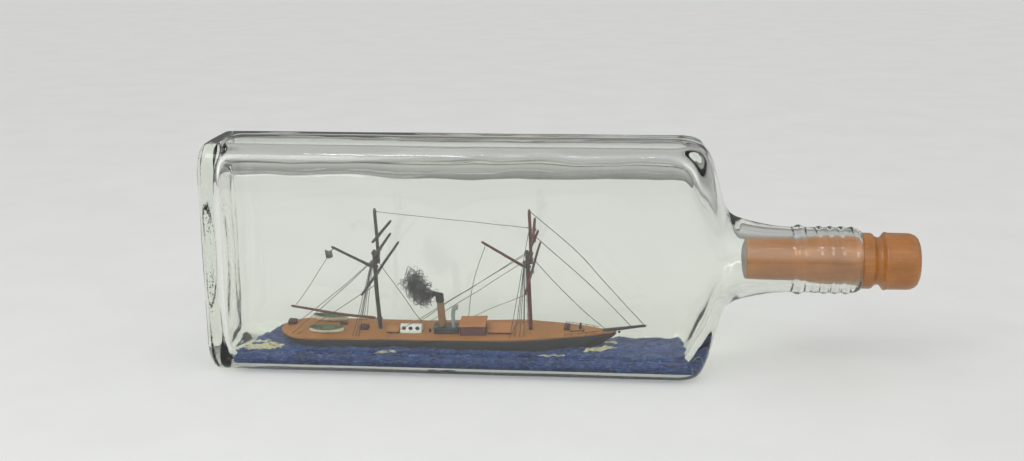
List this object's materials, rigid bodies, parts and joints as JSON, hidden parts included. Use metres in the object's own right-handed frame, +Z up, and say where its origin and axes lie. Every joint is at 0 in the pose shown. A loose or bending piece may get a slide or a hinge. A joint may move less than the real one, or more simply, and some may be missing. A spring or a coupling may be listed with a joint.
{
  "type": "ship in a bottle",
  "caption": "Wooden steamship with masts, yards, funnel and smoke on a putty sea inside a flat clear bottle that lies on its narrow side, closed by a turned wooden stopper.",
  "frame": {"origin": "centre of the whole object's box, on the surface that the bottle lies on", "axes": "+X from the bottle's base to its stopper (the ship's bow points the same way), +Z up, and the front face of the bottle looks towards -Y"},
  "size_m": [0.288, 0.042, 0.096],
  "materials": {
    "bottle_glass": "clear moulded glass with a slight grey-green tint",
    "stopper_wood": "turned pale hardwood, satin",
    "sea_putty": "painted putty, glossy in places",
    "foam_paint": "cream and yellowish paint",
    "hull_paint": "dark paint on carved wood",
    "deck_wood": "bare orange-brown wood",
    "black_paint": "black paint on wood",
    "mast_wood": "stained wooden stick",
    "foremast_wood": "reddish stained wooden stick",
    "yard_wood": "dark stained wooden stick",
    "pin_wire": "tarnished wire",
    "rigging_thread": "thin cotton thread",
    "pale_thread": "thin pale cotton thread",
    "funnel_paint": "speckled brown paint",
    "smoke_wool": "dark grey cotton wool",
    "casing_paint": "slate paint on wood",
    "vent_paint": "blue-grey paint",
    "house_paint": "maroon paint on wood",
    "roof_wood": "orange-brown wood",
    "coaming_paint": "dark brown paint",
    "skylight_paint": "white paint",
    "boat_paint": "green and cream paint on wood",
    "thwart_wood": "bare brown wood",
    "flag_paper": "grey paper"
  },
  "bodies": {
    "root": {"bottle": "bottle_glass", "sea": "sea_putty", "stern_foam": "foam_paint", "bow_wave": "foam_paint", "foam_streaks": "foam_paint", "ship_hull": "hull_paint", "deck": "deck_wood", "bow_rail": "black_paint", "bowsprit": "black_paint", "bowsprit_bead": "black_paint", "main_lower_mast": "mast_wood", "main_topmast": "mast_wood", "fore_lower_mast": "foremast_wood", "fore_topmast": "foremast_wood", "mast_caps": "mast_wood", "yard_pins": "pin_wire", "funnel": "funnel_paint", "funnel_cap": "black_paint", "smoke": "smoke_wool", "funnel_casing": "casing_paint", "casing_lid": "roof_wood", "ventilator": "vent_paint", "deckhouse_walls": "house_paint", "deckhouse_roof": "roof_wood", "main_hatch_coaming": "coaming_paint", "main_hatch_lid": "roof_wood", "fore_hatch_coaming": "coaming_paint", "fore_hatch_lid": "roof_wood", "small_hatches": "coaming_paint", "stern_locker": "coaming_paint", "skylight": "skylight_paint", "portholes": "black_paint", "near_lifeboat": "boat_paint", "far_lifeboat": "boat_paint", "boat_thwarts": "thwart_wood", "windlass": "black_paint", "anchor": "black_paint", "bollard": "black_paint", "triatic_stay": "pale_thread", "headstays": "rigging_thread", "mainstay": "rigging_thread", "main_shrouds": "rigging_thread", "fore_shrouds": "rigging_thread", "backstays": "rigging_thread", "braces": "pale_thread", "fore_vang": "pale_thread"},
    "stopper": {"stopper": "stopper_wood"},
    "main_long_yard": {"main_long_yard": "yard_wood"},
    "main_middle_yard": {"main_middle_yard": "yard_wood"},
    "main_upper_yard": {"main_upper_yard": "yard_wood"},
    "fore_long_yard": {"fore_long_yard": "foremast_wood"},
    "fore_middle_yard": {"fore_middle_yard": "foremast_wood"},
    "fore_upper_yard": {"fore_upper_yard": "foremast_wood"},
    "main_boom_and_gaff": {"main_boom": "foremast_wood", "main_gaff": "yard_wood", "topping_lift": "pale_thread", "flag": "flag_paper"},
    "fore_gaff": {"fore_gaff": "yard_wood"}
  },
  "joints": [
    {"name": "stopper_slide", "type": "slide", "parent": "root", "child": "stopper", "axis": [1, 0, 0], "range_m": [0, 0.05]},
    {"name": "main_long_yard_swivel", "type": "hinge", "parent": "root", "child": "main_long_yard", "pos_m": [-0.07449, -0.00523, 0.04085], "axis": [0.6292, -0.7728, -0.0827], "range_deg": [-5, 5]},
    {"name": "main_middle_yard_swivel", "type": "hinge", "parent": "root", "child": "main_middle_yard", "pos_m": [-0.0732, -0.00628, 0.05113], "axis": [0.669, -0.7392, -0.0778], "range_deg": [-8, 8]},
    {"name": "main_upper_yard_swivel", "type": "hinge", "parent": "root", "child": "main_upper_yard", "pos_m": [-0.07349, -0.00715, 0.05706], "axis": [0.5591, -0.8242, -0.0904], "range_deg": [-8, 8]},
    {"name": "fore_long_yard_swivel", "type": "hinge", "parent": "root", "child": "fore_long_yard", "pos_m": [-0.01073, -0.00483, 0.04234], "axis": [0.8908, -0.4527, -0.0384], "range_deg": [-5, 5]},
    {"name": "fore_middle_yard_swivel", "type": "hinge", "parent": "root", "child": "fore_middle_yard", "pos_m": [-0.00966, -0.00649, 0.05606], "axis": [0.8659, -0.4983, -0.0444], "range_deg": [-4, 4]},
    {"name": "fore_upper_yard_swivel", "type": "hinge", "parent": "root", "child": "fore_upper_yard", "pos_m": [-0.00955, -0.00648, 0.0607], "axis": [0.9901, -0.1405, 0.0019], "range_deg": [-4, 4]},
    {"name": "main_boom_and_gaff_swing", "type": "hinge", "parent": "root", "child": "main_boom_and_gaff", "pos_m": [-0.07521, -0.00122, 0.01966], "axis": [-0.0192, -0.1218, 0.9924], "range_deg": [-6, 6]},
    {"name": "fore_gaff_swing", "type": "hinge", "parent": "root", "child": "fore_gaff", "pos_m": [-0.01237, -0.00424, 0.04429], "axis": [-0.0192, -0.1218, 0.9924], "range_deg": [-7, 7]}
  ]
}
